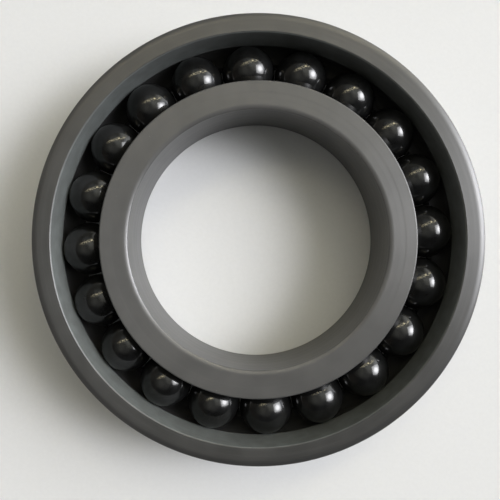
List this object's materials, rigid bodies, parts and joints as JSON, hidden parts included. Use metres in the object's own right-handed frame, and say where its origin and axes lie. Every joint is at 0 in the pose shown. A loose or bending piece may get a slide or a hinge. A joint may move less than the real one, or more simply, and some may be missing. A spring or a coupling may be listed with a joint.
{
  "type": "ball bearing",
  "caption": "Ball bearing of dark grey ceramic, with an inner and an outer ring and a full row of nearly touching balls; no cage or seals; the outer ring is counterbored.",
  "frame": {"origin": "on the bearing's axis, midway between its two faces", "axes": "+Z along the bearing's axis, towards the counterbored side of the outer ring; +X is 3 degrees before the first ball"},
  "size_m": [0.13, 0.13, 0.025],
  "materials": {
    "ring_ceramic": "ground satin, dark grey",
    "ball_ceramic": "polished, near black"
  },
  "bodies": {
    "outer_ring": {"outer_ring": "ring_ceramic"},
    "inner_ring": {"inner_ring": "ring_ceramic"},
    "ball_01": {"ball_01": "ball_ceramic"},
    "ball_02": {"ball_02": "ball_ceramic"},
    "ball_03": {"ball_03": "ball_ceramic"},
    "ball_04": {"ball_04": "ball_ceramic"},
    "ball_05": {"ball_05": "ball_ceramic"},
    "ball_06": {"ball_06": "ball_ceramic"},
    "ball_07": {"ball_07": "ball_ceramic"},
    "ball_08": {"ball_08": "ball_ceramic"},
    "ball_09": {"ball_09": "ball_ceramic"},
    "ball_10": {"ball_10": "ball_ceramic"},
    "ball_11": {"ball_11": "ball_ceramic"},
    "ball_12": {"ball_12": "ball_ceramic"},
    "ball_13": {"ball_13": "ball_ceramic"},
    "ball_14": {"ball_14": "ball_ceramic"},
    "ball_15": {"ball_15": "ball_ceramic"},
    "ball_16": {"ball_16": "ball_ceramic"},
    "ball_17": {"ball_17": "ball_ceramic"},
    "ball_18": {"ball_18": "ball_ceramic"},
    "ball_19": {"ball_19": "ball_ceramic"},
    "ball_20": {"ball_20": "ball_ceramic"}
  },
  "joints": [
    {"name": "inner_ring_spin", "type": "hinge", "parent": "outer_ring", "child": "inner_ring", "pos_m": [0, 0, 0], "axis": [0, 0, 1], "continuous": true},
    {"name": "ball_01_orbit", "type": "hinge", "parent": "outer_ring", "child": "ball_01", "pos_m": [0, 0, 0], "axis": [0, 0, 1], "continuous": true},
    {"name": "ball_02_orbit", "type": "hinge", "parent": "outer_ring", "child": "ball_02", "pos_m": [0, 0, 0], "axis": [0, 0, 1], "continuous": true},
    {"name": "ball_03_orbit", "type": "hinge", "parent": "outer_ring", "child": "ball_03", "pos_m": [0, 0, 0], "axis": [0, 0, 1], "continuous": true},
    {"name": "ball_04_orbit", "type": "hinge", "parent": "outer_ring", "child": "ball_04", "pos_m": [0, 0, 0], "axis": [0, 0, 1], "continuous": true},
    {"name": "ball_05_orbit", "type": "hinge", "parent": "outer_ring", "child": "ball_05", "pos_m": [0, 0, 0], "axis": [0, 0, 1], "continuous": true},
    {"name": "ball_06_orbit", "type": "hinge", "parent": "outer_ring", "child": "ball_06", "pos_m": [0, 0, 0], "axis": [0, 0, 1], "continuous": true},
    {"name": "ball_07_orbit", "type": "hinge", "parent": "outer_ring", "child": "ball_07", "pos_m": [0, 0, 0], "axis": [0, 0, 1], "continuous": true},
    {"name": "ball_08_orbit", "type": "hinge", "parent": "outer_ring", "child": "ball_08", "pos_m": [0, 0, 0], "axis": [0, 0, 1], "continuous": true},
    {"name": "ball_09_orbit", "type": "hinge", "parent": "outer_ring", "child": "ball_09", "pos_m": [0, 0, 0], "axis": [0, 0, 1], "continuous": true},
    {"name": "ball_10_orbit", "type": "hinge", "parent": "outer_ring", "child": "ball_10", "pos_m": [0, 0, 0], "axis": [0, 0, 1], "continuous": true},
    {"name": "ball_11_orbit", "type": "hinge", "parent": "outer_ring", "child": "ball_11", "pos_m": [0, 0, 0], "axis": [0, 0, 1], "continuous": true},
    {"name": "ball_12_orbit", "type": "hinge", "parent": "outer_ring", "child": "ball_12", "pos_m": [0, 0, 0], "axis": [0, 0, 1], "continuous": true},
    {"name": "ball_13_orbit", "type": "hinge", "parent": "outer_ring", "child": "ball_13", "pos_m": [0, 0, 0], "axis": [0, 0, 1], "continuous": true},
    {"name": "ball_14_orbit", "type": "hinge", "parent": "outer_ring", "child": "ball_14", "pos_m": [0, 0, 0], "axis": [0, 0, 1], "continuous": true},
    {"name": "ball_15_orbit", "type": "hinge", "parent": "outer_ring", "child": "ball_15", "pos_m": [0, 0, 0], "axis": [0, 0, 1], "continuous": true},
    {"name": "ball_16_orbit", "type": "hinge", "parent": "outer_ring", "child": "ball_16", "pos_m": [0, 0, 0], "axis": [0, 0, 1], "continuous": true},
    {"name": "ball_17_orbit", "type": "hinge", "parent": "outer_ring", "child": "ball_17", "pos_m": [0, 0, 0], "axis": [0, 0, 1], "continuous": true},
    {"name": "ball_18_orbit", "type": "hinge", "parent": "outer_ring", "child": "ball_18", "pos_m": [0, 0, 0], "axis": [0, 0, 1], "continuous": true},
    {"name": "ball_19_orbit", "type": "hinge", "parent": "outer_ring", "child": "ball_19", "pos_m": [0, 0, 0], "axis": [0, 0, 1], "continuous": true},
    {"name": "ball_20_orbit", "type": "hinge", "parent": "outer_ring", "child": "ball_20", "pos_m": [0, 0, 0], "axis": [0, 0, 1], "continuous": true}
  ],
  "couplings": [
    {"joint": "ball_01_orbit", "follows": "inner_ring_spin", "ratio": 0.42256},
    {"joint": "ball_02_orbit", "follows": "inner_ring_spin", "ratio": 0.42256},
    {"joint": "ball_03_orbit", "follows": "inner_ring_spin", "ratio": 0.42256},
    {"joint": "ball_04_orbit", "follows": "inner_ring_spin", "ratio": 0.42256},
    {"joint": "ball_05_orbit", "follows": "inner_ring_spin", "ratio": 0.42256},
    {"joint": "ball_06_orbit", "follows": "inner_ring_spin", "ratio": 0.42256},
    {"joint": "ball_07_orbit", "follows": "inner_ring_spin", "ratio": 0.42256},
    {"joint": "ball_08_orbit", "follows": "inner_ring_spin", "ratio": 0.42256},
    {"joint": "ball_09_orbit", "follows": "inner_ring_spin", "ratio": 0.42256},
    {"joint": "ball_10_orbit", "follows": "inner_ring_spin", "ratio": 0.42256},
    {"joint": "ball_11_orbit", "follows": "inner_ring_spin", "ratio": 0.42256},
    {"joint": "ball_12_orbit", "follows": "inner_ring_spin", "ratio": 0.42256},
    {"joint": "ball_13_orbit", "follows": "inner_ring_spin", "ratio": 0.42256},
    {"joint": "ball_14_orbit", "follows": "inner_ring_spin", "ratio": 0.42256},
    {"joint": "ball_15_orbit", "follows": "inner_ring_spin", "ratio": 0.42256},
    {"joint": "ball_16_orbit", "follows": "inner_ring_spin", "ratio": 0.42256},
    {"joint": "ball_17_orbit", "follows": "inner_ring_spin", "ratio": 0.42256},
    {"joint": "ball_18_orbit", "follows": "inner_ring_spin", "ratio": 0.42256},
    {"joint": "ball_19_orbit", "follows": "inner_ring_spin", "ratio": 0.42256},
    {"joint": "ball_20_orbit", "follows": "inner_ring_spin", "ratio": 0.42256}
  ]
}
